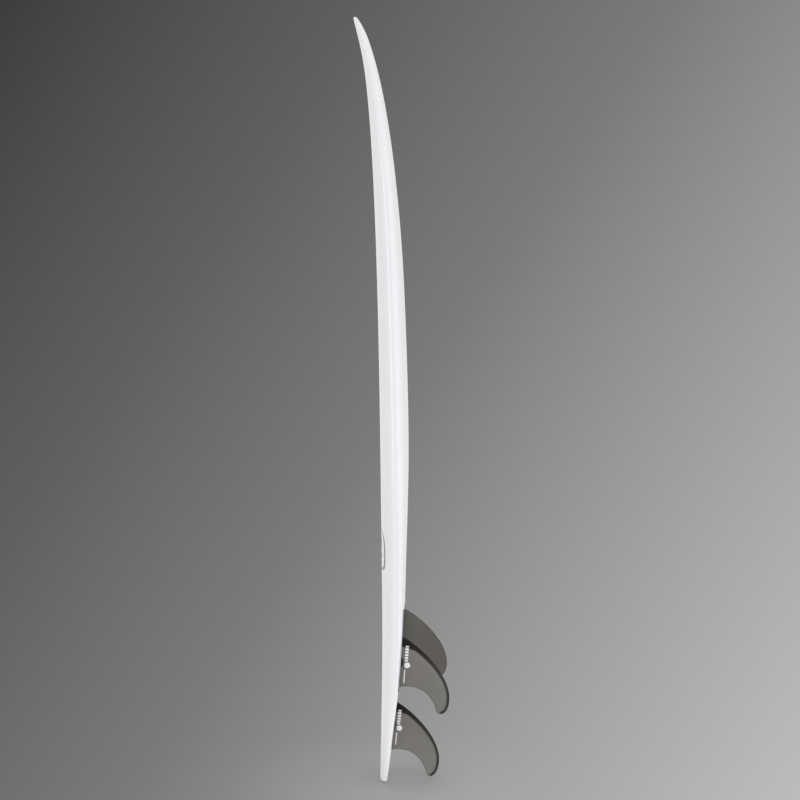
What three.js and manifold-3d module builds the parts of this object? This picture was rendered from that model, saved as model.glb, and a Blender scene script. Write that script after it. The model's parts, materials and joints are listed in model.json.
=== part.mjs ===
// A 5'10" shortboard with a three-fin (thruster) set, as an assembly of separate solids.
// Millimetres, +Z from tail to nose, +X out of the bottom (the side the fins stand on), +Y across.
// The board stands on the small flat of its squash tail, and the origin is the centre of that flat.
//
// Core: two foam halves glued to a timber stringer. Skins: a deck laminate that laps round the rails,
// and a bottom laminate inside that lap. Each fin clicks into a moulded box whose sprung roller bears on
// the rear tab.

import * as THREE from "three";
import { mergeVertices } from "three/addons/utils/BufferGeometryUtils.js";
import Module from "manifold-3d";

const wasm = await Module();
wasm.setup();

// ---------- driving dimensions ----------

const LENGTH = 1778;

// Shaper's stations, each [height above the tail, value].
const HALF_WIDTH = [
  [0, 62], [60, 115], [150, 158], [305, 200], [500, 231], [700, 249], [900, 254],
  [1100, 246], [1300, 216], [1473, 164], [1600, 111], [1700, 60], [LENGTH, 13],
];
const BOTTOM_LINE = [
  [0, 5], [150, 23.2], [340, 42], [455, 45.6], [567, 48.9], [760, 52.9], [1031, 47.2], [1217, 38.8],
  [1403, 23.2], [1589, -4], [1700, -32.2], [1742, -47.8], [LENGTH, -67],
];
const DECK_LINE = [
  [0, -11.6], [60, -9.8], [150, -7.8], [334, -5.6], [567, -7.4], [760, -9.7], [1031, -14.2],
  [1217, -19.3], [1403, -27.2], [1589, -40.7], [1700, -56.6], [LENGTH, -75.8],
];
const CONCAVE = 2.5; // depth of the single concave under the fins and mid length
const CONCAVE_SPREAD = 0.85; // the share of the width that it takes
const TAIL_CORNER = 42; // radius of the squash tail's corners, in plan
const TAIL_DECK_ROUND = 5; // radius from the deck into the tail's end
const NOSE_ROUND = 26; // length over which the outline closes at the nose
const NOSE_THICKNESS_ROUND = 8; // length over which the thickness closes there

const SKIN = 0.9; // laminate thickness
const GAP = 0.3; // clearance between bonded pieces
const TIP_FILL = 6; // solid resin in the nose tip
const LAP_SPREAD = 83; // sets how far the deck laminate laps under: 58 mm at the fins, 63 mm at mid length
const BOTTOM_SKIN_FROM = 22; // the bottom laminate's ends, where the deck laminate wraps the tail and nose
const BOTTOM_SKIN_TO = LENGTH - 60;
const SEAM = 0.4; // width of the seam between the two laminates

const STRINGER = 4.8; // timber thickness

// Each blade: its length along the board, how far it stands out, where its trailing edge meets the tip, and
// how that edge sweeps there. The curves are drawn DRAWN_DEPTH deep, and scaled.
const DRAWN_DEPTH = 112.4;
const CENTRE_FIN = { base: 114, depth: 115, corner: [164.3, 88.3], sweep: [[101, 42], [124, 75]] };
const SIDE_FIN = { base: 111, depth: 112.5, corner: [160.4, 86.3], sweep: [[98, 48], [127, 77]] };
const FIN_THICKNESS = 6.2; // at the root, and through the tabs
const FIN_LIFT = 0.6; // clearance under the fin's base
const TAB_DEPTH = 13.5;
const FRONT_TAB = [12, 60]; // from the fin's front base corner
const REAR_TAB_FROM = 79; // the rear tab ends at the roller
const TOE = { reach: 4, height: 3.6, lift: 2.4 }; // the front tab's toe, and the room above it
const POCKET_CLEARANCE = 0.3;

const ROLLER_AT = [101.2, -4.3]; // roller centre: along the fin, and below its base
const ROLLER_RADIUS = 2.5;
const ROLLER_END_RADIUS = 1.7;
const ROLLER_HALF_LENGTH = 4.5;
const CLICK_ANGLE = THREE.MathUtils.degToRad(5); // swing that carries the rear tab past the roller
const ROLLER_TRAVEL = 1.4; // how far the roller is pushed back over that swing
const CHAMBER_END = 113; // the far wall of the roller and spring chamber

const BOX_FROM = -7; // the box's ends, from the fin's front base corner
const BOX_TO = 119;
const BOX_HALF_WIDTH = 12;
const BOX_DEPTH = 16;
const BOX_BASE_THICKNESS = 1.4;
const FLANGE_RIM = 3; // how far the flange stands out all round
const FLANGE_THICKNESS = 2.4;
const COLLAR_RIM = 5; // high-density foam round the box

const CENTRE_FIN_FRONT = 178; // height of the front base corner above the tail
const SIDE_FIN_FRONT = 363;
const SIDE_FIN_OFFSET = 156; // that corner's distance from the stringer
const SIDE_FIN_CANT = THREE.MathUtils.degToRad(3);
const SIDE_FIN_TOE_IN = THREE.MathUtils.degToRad(3);

const LEASH_PLUG_AT = { y: 40, z: 112 };
const LEASH_CUP = { flange: 15, body: 13, well: 10, depth: 17, wellDepth: 13.5, flangeThickness: 2 };
const LEASH_PIN = { radius: 1.6, length: 24, depth: 4.5 };

// ---------- materials ----------

const material = (color, roughness, metalness = 0, opacity = 1) =>
  new THREE.MeshStandardMaterial({ color, roughness, metalness, opacity, transparent: opacity < 1 });
const laminate = material(0xf1f1f3, 0.18);
const foam = material(0xf7f6f0, 0.95);
const denseFoam = material(0xe6e2d2, 0.9);
const timber = material(0xc9a36b, 0.7);
const smokedComposite = material(0x57544f, 0.25, 0, 0.8);
const whiteNylon = material(0xe9e9e6, 0.45);
const darkNylon = material(0x26272a, 0.5);
const steel = material(0xb9bcc0, 0.3, 1);

// ---------- solids ----------

// A closed geometry as a solid that can be joined and cut.
function solid(geometry) {
  const bare = geometry.index ? geometry.toNonIndexed() : geometry.clone();
  bare.deleteAttribute("normal");
  bare.deleteAttribute("uv");
  const merged = mergeVertices(bare, 1e-3);
  return new wasm.Manifold(
    new wasm.Mesh({
      numProp: 3,
      vertProperties: merged.attributes.position.array,
      triVerts: new Uint32Array(merged.index.array),
    }),
  );
}

// A solid as a geometry.
function geometryOf(made) {
  const mesh = made.getMesh();
  const geometry = new THREE.BufferGeometry();
  geometry.setAttribute("position", new THREE.BufferAttribute(new Float32Array(mesh.vertProperties), 3));
  geometry.setIndex(new THREE.BufferAttribute(new Uint32Array(mesh.triVerts), 1));
  geometry.computeVertexNormals();
  return geometry;
}

const cut = (from, ...tools) => tools.reduce((left, tool) => left.subtract(tool), from);

// Triangles that close into a solid. One with two corners at the same pole is left out.
class Faces {
  corners = [];

  triangle(...points) {
    if (new Set(points).size === 3) this.corners.push(...points.flatMap((point) => point.toArray()));
  }

  quad(a, b, c, d) {
    this.triangle(a, b, c);
    this.triangle(a, c, d);
  }

  solid() {
    const geometry = new THREE.BufferGeometry();
    geometry.setAttribute("position", new THREE.Float32BufferAttribute(this.corners, 3));
    return solid(geometry);
  }
}

function box(x, y, z) {
  const [size, centre] = [x, y, z].reduce(
    ([sizes, centres], [low, high]) => [[...sizes, high - low], [...centres, (low + high) / 2]],
    [[], []],
  );
  return solid(new THREE.BoxGeometry(...size).translate(...centre));
}

// A flat profile in the XY plane, pushed from z = low to z = high.
function slab(shape, low, high, curveSegments = 6) {
  const options = { depth: high - low, bevelEnabled: false, curveSegments };
  return solid(new THREE.ExtrudeGeometry(shape, options).translate(0, 0, low));
}

function outline(points) {
  return new THREE.Shape(points.map(([x, y]) => new THREE.Vector2(x, y)));
}

// A stadium from x = from to x = to, with full-round ends.
function stadium(from, to, halfWidth) {
  const shape = new THREE.Shape();
  shape.absarc(to - halfWidth, 0, halfWidth, -Math.PI / 2, Math.PI / 2);
  shape.absarc(from + halfWidth, 0, halfWidth, Math.PI / 2, (3 * Math.PI) / 2);
  return shape;
}

function piece(name, geometry, finish) {
  const mesh = new THREE.Mesh(geometry, finish);
  mesh.name = name;
  return mesh;
}

// ---------- board surface ----------

// The natural cubic spline through [position, value] knots.
function spline(knots) {
  const count = knots.length;
  const step = (i) => knots[i + 1][0] - knots[i][0];
  const slope = (i) => (knots[i + 1][1] - knots[i][1]) / step(i);
  const bend = new Array(count).fill(0); // second derivative at each knot
  const weight = new Array(count).fill(0);
  for (let i = 1; i < count - 1; i++) {
    const pivot = 2 * (step(i - 1) + step(i)) - step(i - 1) * weight[i - 1];
    weight[i] = step(i) / pivot;
    bend[i] = (6 * (slope(i) - slope(i - 1)) - step(i - 1) * bend[i - 1]) / pivot;
  }
  for (let i = count - 2; i > 0; i--) bend[i] -= weight[i] * bend[i + 1];
  return (at) => {
    let i = 0;
    while (i < count - 2 && at > knots[i + 1][0]) i++;
    const [h, u] = [step(i), at - knots[i][0]];
    const linear = slope(i) - (h * (2 * bend[i] + bend[i + 1])) / 6;
    return knots[i][1] + u * (linear + u * (bend[i] / 2 + (u * (bend[i + 1] - bend[i])) / (6 * h)));
  };
}

const halfWidthAt = spline(HALF_WIDTH);
const bottomAt = spline(BOTTOM_LINE);
const deckAt = spline(DECK_LINE);

const ease = (at, from, to) => THREE.MathUtils.smoothstep(at, from, to);

// How far a quarter-round of this radius still has to go, this far from its end.
const roundOff = (radius, along) =>
  along >= radius ? 0 : radius - Math.sqrt(Math.max(0, radius ** 2 - (radius - along) ** 2));
const closing = (length, along) => Math.sqrt(Math.max(0, 1 - Math.max(0, 1 - along / length) ** 2));

// The board's cross-section at height z, for a surface this far inside the outer one. Height is squeezed
// a little so that the inner surface ends inside the tail's flat and the nose tip.
function sectionAt(z, inset) {
  const tip = LENGTH - (inset ? TIP_FILL + inset : 0);
  const height = inset + (z * (tip - inset)) / LENGTH;
  const [fromTail, fromNose] = [height - inset, tip - height];
  const deck = deckAt(height) + inset + roundOff(TAIL_DECK_ROUND, fromTail);
  const bottom = bottomAt(height) - inset;
  const railShare = 0.2 + 0.16 * ease(height, 250, 850) + 0.12 * ease(height, 1200, LENGTH);
  const widest = bottom - (bottom - deck) * railShare; // the rail's widest line
  const taper = closing(NOSE_THICKNESS_ROUND, fromNose);
  const half = halfWidthAt(height) - inset - roundOff(TAIL_CORNER, fromTail);
  return {
    height,
    half: half * closing(NOSE_ROUND, fromNose),
    widest,
    above: (widest - deck) * taper,
    below: (bottom - widest) * taper,
    concave: CONCAVE * ease(height, 0, 250) * (1 - ease(height, 900, 1500)),
    edge: 30 - 22 * ease(height, 250, 900), // 8 is a soft tucked rail, 30 is a hard edge
  };
}

const DECK_CROWN = 2.5; // superellipse exponent across the deck: 2 is round, more is flatter

function deckPoint(section, share) {
  const drop = Math.sqrt(Math.max(0, 1 - Math.abs(share) ** DECK_CROWN));
  return new THREE.Vector3(section.widest - section.above * drop, share * section.half, section.height);
}

function bottomPoint(section, share) {
  const reach = section.below * Math.sqrt(Math.max(0, 1 - Math.abs(share) ** section.edge));
  const across = Math.min(1, Math.abs(share) / CONCAVE_SPREAD);
  const hollow = section.concave * Math.cos((Math.PI / 2) * across) ** 2;
  return new THREE.Vector3(section.widest + reach - hollow, share * section.half, section.height);
}

// Heights of the rings, close together at the tail, the nose and the laminates' seams.
const RINGS = [
  0, 1.2, 4, 10, BOTTOM_SKIN_FROM, BOTTOM_SKIN_FROM + SEAM, 45, 75,
  ...Array.from({ length: 19 }, (_, i) => 110 + i * 84),
  LENGTH - 100, BOTTOM_SKIN_TO - SEAM, BOTTOM_SKIN_TO, LENGTH - 42, LENGTH - 26, LENGTH - 14, LENGTH - 6,
  LENGTH - 2,
];
const DECK_STEPS = 6; // columns from rail to crown
const LAP_SHARES = [0.03, 0.12, 0.35, 1]; // columns from rail to seam

// The columns of a ring, from the +Y rail over the deck to the -Y rail and back under the bottom.
function ringPoints(z, inset) {
  const section = sectionAt(z, inset);
  const half = Math.max(section.half, 1);
  const lap = half / (half + LAP_SPREAD);
  const seam = Math.min(SEAM / 2 / half, lap / 4);
  const deckShares = Array.from(
    { length: DECK_STEPS + 1 },
    (_, i) => Math.max(0, Math.cos((i * Math.PI) / 2 / DECK_STEPS)) ** (2 / DECK_CROWN),
  );
  const outside = LAP_SHARES.map((g) => 1 - (1 - lap - seam) * g);
  const bottomShares = [...outside, lap - seam, (lap - seam) / 2];
  return [
    ...deckShares.map((share) => deckPoint(section, share)),
    ...deckShares.slice(0, -1).reverse().map((share) => deckPoint(section, -share)),
    ...bottomShares.map((share) => bottomPoint(section, -share)),
    bottomPoint(section, 0),
    ...bottomShares.slice().reverse().map((share) => bottomPoint(section, share)),
  ];
}

const COLUMNS = ringPoints(LENGTH / 2, 0).length;
const SEAM_COLUMN = 2 * DECK_STEPS + LAP_SHARES.length; // the -Y seam's outer edge
const SEAM_COLUMN_BACK = COLUMNS - LAP_SHARES.length; // the +Y seam's outer edge
const ROWS = RINGS.length + 2; // the rings and a pole at each end

// A closed grid of the board's surface: a pole in the tail's flat, the rings, and a pole at the nose tip.
function surfaceGrid(inset) {
  const rings = RINGS.map((z) => ringPoints(z, inset));
  const tail = rings[0].reduce((sum, p) => sum.add(p), new THREE.Vector3()).divideScalar(COLUMNS);
  const tip = sectionAt(LENGTH, inset);
  const pole = (point) => new Array(COLUMNS).fill(point);
  return [pole(tail), ...rings, pole(new THREE.Vector3(tip.widest, 0, tip.height))];
}

const wholeBoard = () => true;
const rowOf = (height) => RINGS.indexOf(height) + 1;
const underBottom = (row, column, reach) =>
  row >= rowOf(BOTTOM_SKIN_FROM) + reach &&
  row < rowOf(BOTTOM_SKIN_TO) - reach &&
  column >= SEAM_COLUMN + reach &&
  column < SEAM_COLUMN_BACK - reach;
const deckLaminate = (row, column) => !underBottom(row, column, 0);
const bottomLaminate = (row, column) => underBottom(row, column, 1);

// The corners of a grid's cell, in turn.
function cellOf(grid, row, column) {
  const next = (column + 1) % COLUMNS;
  return [grid[row][column], grid[row][next], grid[row + 1][next], grid[row + 1][column]];
}

// The cells of a grid that belong to a piece, as a solid. With an inner grid the piece is a thin shell, and
// its edges get walls.
function gridSolid(belongs, outer, inner) {
  const faces = new Faces();
  const isIn = (row, column) => row >= 0 && row < ROWS - 1 && belongs(row, (column + COLUMNS) % COLUMNS);
  for (let row = 0; row < ROWS - 1; row++) {
    for (let column = 0; column < COLUMNS; column++) {
      if (!isIn(row, column)) continue;
      const outside = cellOf(outer, row, column);
      faces.quad(...outside);
      if (!inner) continue;
      const inside = cellOf(inner, row, column);
      faces.quad(inside[0], inside[3], inside[2], inside[1]);
      const beside = [[row - 1, column], [row, column + 1], [row + 1, column], [row, column - 1]];
      beside.forEach((cell, i) => {
        const j = (i + 1) % 4;
        if (!isIn(...cell)) faces.quad(outside[j], outside[i], inside[i], inside[j]);
      });
    }
  }
  return faces.solid();
}

// ---------- fin ----------

// The blade's edges, as curves through [along, depth].
const curve = (...points) => new THREE.CubicBezierCurve(...points.map(([x, y]) => new THREE.Vector2(x, y)));
const TIP = [130, DRAWN_DEPTH]; // the point that stands out furthest
const leading = curve([0, 0], [22, 49], [80, DRAWN_DEPTH], TIP);
const CORNER_PULL = [4, 7.5]; // how the tip's edge leaves its rear corner
const TIP_PULL = [164, DRAWN_DEPTH]; // and where it heads from the tip
const tipEdge = ({ corner: [along, depth] }) =>
  curve([along, depth], [along + CORNER_PULL[0], depth + CORNER_PULL[1]], TIP_PULL, TIP);
const trailing = ({ base, sweep, corner }) => curve([base, 0], ...sweep, corner);
const BLADE_LEVELS = 12;
const CHORD_STEPS = 9;
const THICKEST = 0.32; // the share of the chord where the foil is thickest
const TRAILING_LOSS = 0.86; // the share of that thickness lost by the trailing edge
const TAPER_POWER = 1.3; // 1 is a straight taper behind the thickest point, and more is a fuller one
const EDGE_THICKNESS = 0.06; // the least share that is left at either edge
const TIP_LOSS = 0.62; // the share of the root's thickness lost by the tip
const TIP_ROUND = { loss: 0.98, power: 12 }; // how the last of it goes, in a round at the very tip

// Where a curve that only rises crosses a depth.
function crossing(edge, depth) {
  let [low, high] = [0, 1];
  for (let i = 0; i < 40; i++) {
    const middle = (low + high) / 2;
    if (edge.getPoint(middle).y < depth) low = middle;
    else high = middle;
  }
  return edge.getPoint(low).x;
}

// The foil's thickness at a share of the chord, as a share of its greatest: a round nose, a long taper.
function foil(chord) {
  const nose = Math.sqrt(1 - (1 - Math.min(1, chord / THICKEST)) ** 2);
  const taper = 1 - TRAILING_LOSS * Math.max(0, (chord - THICKEST) / (1 - THICKEST)) ** TAPER_POWER;
  return Math.max(nose * taper, EDGE_THICKNESS);
}

// A blade's section at a share of its depth, as a loop: one face from front to back, and the other one
// forward again. outward is 1 or -1 for a side fin, flat on its other face, and 0 for one foiled on both.
function bladeSection(plan, share, outward) {
  const drawn = Math.min(DRAWN_DEPTH * share, DRAWN_DEPTH - 0.01);
  const from = crossing(leading, drawn);
  const to = crossing(drawn < plan.corner[1] ? trailing(plan) : tipEdge(plan), drawn);
  const height = FIN_LIFT + (drawn * plan.depth) / DRAWN_DEPTH;
  const round = Math.sqrt(1 - TIP_ROUND.loss * share ** TIP_ROUND.power);
  const thickness = FIN_THICKNESS * (1 - TIP_LOSS * share) * round;
  const faces = [[], []];
  for (let i = 0; i <= CHORD_STEPS; i++) {
    const chord = (1 - Math.cos((Math.PI * i) / CHORD_STEPS)) / 2;
    const along = from + (to - from) * chord;
    const width = thickness * foil(chord);
    const centre = (outward * (width - FIN_THICKNESS)) / 2;
    faces[0].push(new THREE.Vector3(along, centre + width / 2, height));
    faces[1].push(new THREE.Vector3(along, centre - width / 2, height));
  }
  return [...faces[0], ...faces[1].reverse()];
}

// The flat end of the blade, between its two faces.
function closeBlade(faces, section, isTip) {
  const last = section.length - 1;
  for (let i = 0; i < CHORD_STEPS; i++) {
    const [a, b, c, d] = [section[i], section[i + 1], section[last - 1 - i], section[last - i]];
    faces.triangle(...(isTip ? [a, c, b] : [a, b, c]));
    faces.triangle(...(isTip ? [a, d, c] : [a, c, d]));
  }
}

// The blade, lofted through sections that crowd towards the tip.
function blade(outward) {
  const plan = outward ? SIDE_FIN : CENTRE_FIN;
  const sections = Array.from({ length: BLADE_LEVELS + 1 }, (_, level) =>
    bladeSection(plan, Math.sin((level / BLADE_LEVELS) * (Math.PI / 2)), outward),
  );
  const faces = new Faces();
  for (let level = 0; level < BLADE_LEVELS; level++) {
    const [low, high] = [sections[level], sections[level + 1]];
    low.forEach((corner, i) => {
      const next = (i + 1) % low.length;
      faces.triangle(corner, high[i], high[next]);
      faces.triangle(corner, high[next], low[next]);
    });
  }
  closeBlade(faces, sections[0], false);
  closeBlade(faces, sections[BLADE_LEVELS], true);
  return faces.solid();
}

// A profile in the fin's own plane (along, depth), given its thickness across.
function acrossFin(points, halfThickness) {
  const options = { depth: 2 * halfThickness, bevelEnabled: false };
  const geometry = new THREE.ExtrudeGeometry(outline(points), options);
  return solid(geometry.rotateX(Math.PI / 2).translate(0, halfThickness, 0));
}

// The rear tab's heel is a spiral about the fin's front base corner, so that a swing of CLICK_ANGLE pushes
// the roller back by ROLLER_TRAVEL at a steady rate.
function heelPoints() {
  const [along, down] = [ROLLER_AT[0] - ROLLER_RADIUS - 0.2, ROLLER_AT[1] - FIN_LIFT];
  const [reach, level] = [Math.hypot(along, down), Math.atan2(down, along)];
  return [0, 0.25, 0.5, 0.75, 1].map((share) => {
    const below = -share * TAB_DEPTH - FIN_LIFT;
    const angle = Math.atan2(below, reach);
    const radius = reach + ((level - angle) * ROLLER_TRAVEL) / CLICK_ANGLE;
    return [Math.sqrt(radius ** 2 - below ** 2), below + FIN_LIFT];
  });
}

const TAB_OVERLAP = 0.8; // how far the tabs run up into the blade

function tabs() {
  const top = FIN_LIFT + TAB_OVERLAP;
  const [front, back] = FRONT_TAB;
  const [toe, shoulder] = [front - TOE.reach, TOE.height - TAB_DEPTH];
  const frontTab = [
    [front, top], [front, shoulder], [toe, shoulder - 0.4], [toe, -TAB_DEPTH + 0.8],
    [toe + 0.8, -TAB_DEPTH], [back - 1, -TAB_DEPTH], [back, -TAB_DEPTH + 1], [back, top],
  ];
  const heel = heelPoints();
  const rearTab = [[heel[0][0], top], ...heel, [REAR_TAB_FROM, -TAB_DEPTH], [REAR_TAB_FROM, top]];
  return [frontTab, rearTab].map((points) => acrossFin(points, FIN_THICKNESS / 2));
}

const fin = (outward) => geometryOf(blade(outward).add(tabs()[0]).add(tabs()[1]));

// ---------- fin box ----------

// The box's outline seen from outside the board, with a rim all round.
const boxPlan = (rim) => stadium(BOX_FROM - rim, BOX_TO + rim, BOX_HALF_WIDTH + rim);

// The space the tabs need, with room for the fin to swing out about its front base corner.
function pockets() {
  const half = FIN_THICKNESS / 2 + POCKET_CLEARANCE;
  const floor = -TAB_DEPTH - 0.6;
  const [front, back] = [FRONT_TAB[0] - 0.5, FRONT_TAB[1] + 2.2];
  const [toe, lip] = [front - TOE.reach - 0.1, TOE.height + TOE.lift - TAB_DEPTH];
  const frontPocket = [[front, 4], [front, lip], [toe, lip], [toe, floor], [back, floor], [back, 4]];
  const rear = ROLLER_AT[0] - 1; // room for the heel as it swings
  const rearPocket = [[REAR_TAB_FROM - 0.6, 4], [REAR_TAB_FROM - 0.6, floor], [rear, floor], [rear, 4]];
  return [frontPocket, rearPocket].map((points) => acrossFin(points, half));
}

const CHAMBER_ROOF = ROLLER_AT[1] + ROLLER_RADIUS + 0.3;
const CHAMBER_HALF_WIDTH = ROLLER_HALF_LENGTH + 0.25;
const CHAMBER_FROM = ROLLER_AT[0] - ROLLER_END_RADIUS - 0.1;

// The roller and spring's chamber, open at the box's underside so that they go in before the base.
function chamber() {
  const across = [-CHAMBER_HALF_WIDTH, CHAMBER_HALF_WIDTH];
  return box([CHAMBER_FROM, CHAMBER_END], across, [-BOX_DEPTH - 1, CHAMBER_ROOF]);
}

// A flange level with the board's bottom, on a body canted with the fin.
function flange(cant, grow, low, high) {
  return slab(boxPlan(FLANGE_RIM + grow), low, high, 8).rotate([THREE.MathUtils.radToDeg(cant), 0, 0]);
}

const BODY_TOP = -1.4; // under the flange's face even when that is canted

function boxBody(cant) {
  const body = slab(boxPlan(0), -BOX_DEPTH, BODY_TOP, 8);
  return geometryOf(cut(body.add(flange(cant, 0, -FLANGE_THICKNESS, 0)), ...pockets(), chamber()));
}

// The cover that closes the box's underside, with a rib that holds up the roller and spring.
function boxBase() {
  const [top, clear] = [-BOX_DEPTH - GAP, 0.3];
  const plate = slab(boxPlan(0), top - BOX_BASE_THICKNESS, top, 8);
  const rib = box(
    [ROLLER_AT[0] - 0.4, CHAMBER_END - clear], // clear of the tab's heel
    [-CHAMBER_HALF_WIDTH + clear, CHAMBER_HALF_WIDTH - clear],
    [top - 0.5, ROLLER_AT[1] - ROLLER_RADIUS - clear],
  );
  return geometryOf(plate.add(rib));
}

// A stepped roller across the fin. Its slim ends stop on the pocket's shoulders.
function roller() {
  const shoulder = 2.9;
  const profile = [
    [0, -ROLLER_HALF_LENGTH], [ROLLER_END_RADIUS, -ROLLER_HALF_LENGTH], [ROLLER_END_RADIUS, -shoulder],
    [ROLLER_RADIUS, -shoulder], [ROLLER_RADIUS, shoulder], [ROLLER_END_RADIUS, shoulder],
    [ROLLER_END_RADIUS, ROLLER_HALF_LENGTH], [0, ROLLER_HALF_LENGTH],
  ].map(([radius, along]) => new THREE.Vector2(radius, along));
  return geometryOf(solid(new THREE.LatheGeometry(profile, 16)));
}

class Helix extends THREE.Curve {
  constructor(from, to, radius, turns) {
    super();
    Object.assign(this, { from, to, radius, turns });
  }
  getPoint(t, target = new THREE.Vector3()) {
    const angle = 2 * Math.PI * this.turns * t;
    const along = THREE.MathUtils.lerp(this.from, this.to, t);
    return target.set(along, this.radius * Math.cos(angle), this.radius * Math.sin(angle));
  }
}

const SPRING = { wire: 0.35, radius: 2, turns: 4, stepsPerTurn: 8 };

// The coil spring between the roller and the chamber's far wall.
function spring() {
  const wire = new THREE.Shape().absarc(0, 0, SPRING.wire, 0, 2 * Math.PI);
  const reach = [ROLLER_AT[0] + ROLLER_RADIUS + SPRING.wire + 0.1, CHAMBER_END - SPRING.wire - 0.1];
  const path = new Helix(...reach, SPRING.radius, SPRING.turns);
  const options = {
    steps: SPRING.turns * SPRING.stepsPerTurn, extrudePath: path, bevelEnabled: false, curveSegments: 5,
  };
  return geometryOf(solid(new THREE.ExtrudeGeometry(wire, options)));
}

const COLLAR_TOP = -FLANGE_THICKNESS - 1.6;
const COLLAR_BOTTOM = -BOX_DEPTH - GAP - BOX_BASE_THICKNESS;
const PROUD = 6; // how far the cutters stand out of the board

// The ring of high-density foam that ties the box to the core.
function collar(cant) {
  const ring = slab(boxPlan(COLLAR_RIM), COLLAR_BOTTOM, COLLAR_TOP, 8);
  const hole = slab(boxPlan(GAP), COLLAR_BOTTOM - GAP, PROUD, 8);
  return geometryOf(cut(ring, hole, flange(cant, GAP, -FLANGE_THICKNESS - GAP, PROUD)));
}

// What a fin box takes out of the core and of the skins.
const corePocket = (cant) =>
  slab(boxPlan(COLLAR_RIM + GAP), COLLAR_BOTTOM - GAP, COLLAR_TOP + GAP, 8)
    .add(slab(boxPlan(GAP), COLLAR_BOTTOM, 0, 8))
    .add(flange(cant, GAP, -FLANGE_THICKNESS - GAP, PROUD));
const skinHole = (cant) => flange(cant, GAP, -PROUD, PROUD);

// ---------- leash plug ----------

function cylinder(radius, low, high) {
  const upright = new THREE.CylinderGeometry(radius, radius, high - low, 28).rotateX(Math.PI / 2);
  return solid(upright.translate(0, 0, (low + high) / 2));
}

const pinAcross = (radius, length) =>
  solid(new THREE.CylinderGeometry(radius, radius, length, 12).translate(0, 0, -LEASH_PIN.depth));

function leashCup() {
  const { flange: rim, body, well, depth, wellDepth, flangeThickness } = LEASH_CUP;
  const outside = cylinder(rim, -flangeThickness, 0).add(cylinder(body, -depth, -flangeThickness / 2));
  const holes = pinAcross(LEASH_PIN.radius + 0.15, LEASH_PIN.length + 0.6);
  return geometryOf(cut(outside, cylinder(well, -wellDepth, PROUD), holes));
}

const leashPin = () => geometryOf(pinAcross(LEASH_PIN.radius, LEASH_PIN.length));

// What the plug takes out of the core and of the deck laminate.
function leashPocket() {
  const { flange: rim, body, depth, flangeThickness } = LEASH_CUP;
  return cylinder(rim + GAP, -flangeThickness - GAP, PROUD).add(cylinder(body + GAP, -depth - GAP, 0));
}

// ---------- placing ----------

// A frame on the board's surface: its X runs aft, its Z out of the surface. toeIn turns it about that
// normal, and cant then leans it about its own X.
function surfaceFrame(pointOn, y, z, along, toeIn = 0, cant = 0) {
  const on = (atY, atZ) => {
    const section = sectionAt(atZ, 0);
    return pointOn(section, atY / section.half);
  };
  const here = on(y, z);
  const middle = z - along;
  const up = on(y, middle + 5).sub(on(y, middle - 5));
  const across = on(y + 3, middle).sub(on(y - 3, middle));
  const normal = new THREE.Vector3().crossVectors(across, up).normalize();
  if (pointOn === deckPoint) normal.negate();
  const aft = up.negate().normalize().applyAxisAngle(normal, toeIn);
  const side = new THREE.Vector3().crossVectors(normal, aft);
  const frame = new THREE.Group();
  frame.applyMatrix4(new THREE.Matrix4().makeBasis(aft, side, normal));
  frame.rotateX(-cant);
  frame.position.copy(here);
  return frame;
}

// The frame that carries a fin and its box, at the fin's front base corner.
function finFrame(side, z) {
  const y = side * SIDE_FIN_OFFSET;
  const halfBase = SIDE_FIN.base / 2;
  const frame = surfaceFrame(bottomPoint, y, z, halfBase, side * SIDE_FIN_TOE_IN, side * SIDE_FIN_CANT);
  // The rocker bows the bottom out between the fin's ends, so the frame moves half way out to that bow.
  const middle = frame.localToWorld(new THREE.Vector3(halfBase, 0, 0));
  const section = sectionAt(middle.z, 0);
  const bow = bottomPoint(section, middle.y / section.half).x - middle.x;
  frame.position.x += bow / 2;
  frame.updateMatrixWorld(true);
  return frame;
}

const FINS = [
  { name: "centre", side: 0, front: CENTRE_FIN_FRONT },
  { name: "left", side: -1, front: SIDE_FIN_FRONT },
  { name: "right", side: 1, front: SIDE_FIN_FRONT },
];

// A local solid moved to where a frame puts it.
const placed = (made, frame) => made.transform(frame.matrixWorld.elements);

const board = new THREE.Group();
const coreCuts = [];
const skinCuts = [];

for (const { name, side, front } of FINS) {
  const frame = finFrame(side, front);
  const cant = side * SIDE_FIN_CANT;
  const rollerPiece = piece(`fin_box_${name}_roller`, roller(), steel);
  rollerPiece.position.set(ROLLER_AT[0], 0, ROLLER_AT[1]);
  const springPiece = piece(`fin_box_${name}_spring`, spring(), steel);
  springPiece.position.z = ROLLER_AT[1];
  frame.add(
    piece(`fin_${name}`, fin(side), smokedComposite),
    piece(`fin_box_${name}_body`, boxBody(cant), darkNylon),
    piece(`fin_box_${name}_base`, boxBase(), darkNylon),
    piece(`fin_box_${name}_collar`, collar(cant), denseFoam),
    rollerPiece,
    springPiece,
  );
  board.add(frame);
  coreCuts.push(placed(corePocket(cant), frame));
  skinCuts.push(placed(skinHole(cant), frame));
}

const leashFrame = surfaceFrame(deckPoint, LEASH_PLUG_AT.y, LEASH_PLUG_AT.z, 0);
leashFrame.updateMatrixWorld(true);
leashFrame.add(
  piece("leash_plug_cup", leashCup(), whiteNylon),
  piece("leash_plug_pin", leashPin(), steel),
);
board.add(leashFrame);
coreCuts.push(placed(leashPocket(), leashFrame));
skinCuts.push(placed(leashPocket(), leashFrame));

// ---------- core and skins ----------

const outerGrid = surfaceGrid(0);
const innerGrid = surfaceGrid(SKIN);
const core = cut(gridSolid(wholeBoard, surfaceGrid(SKIN + GAP)), ...coreCuts);

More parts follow.
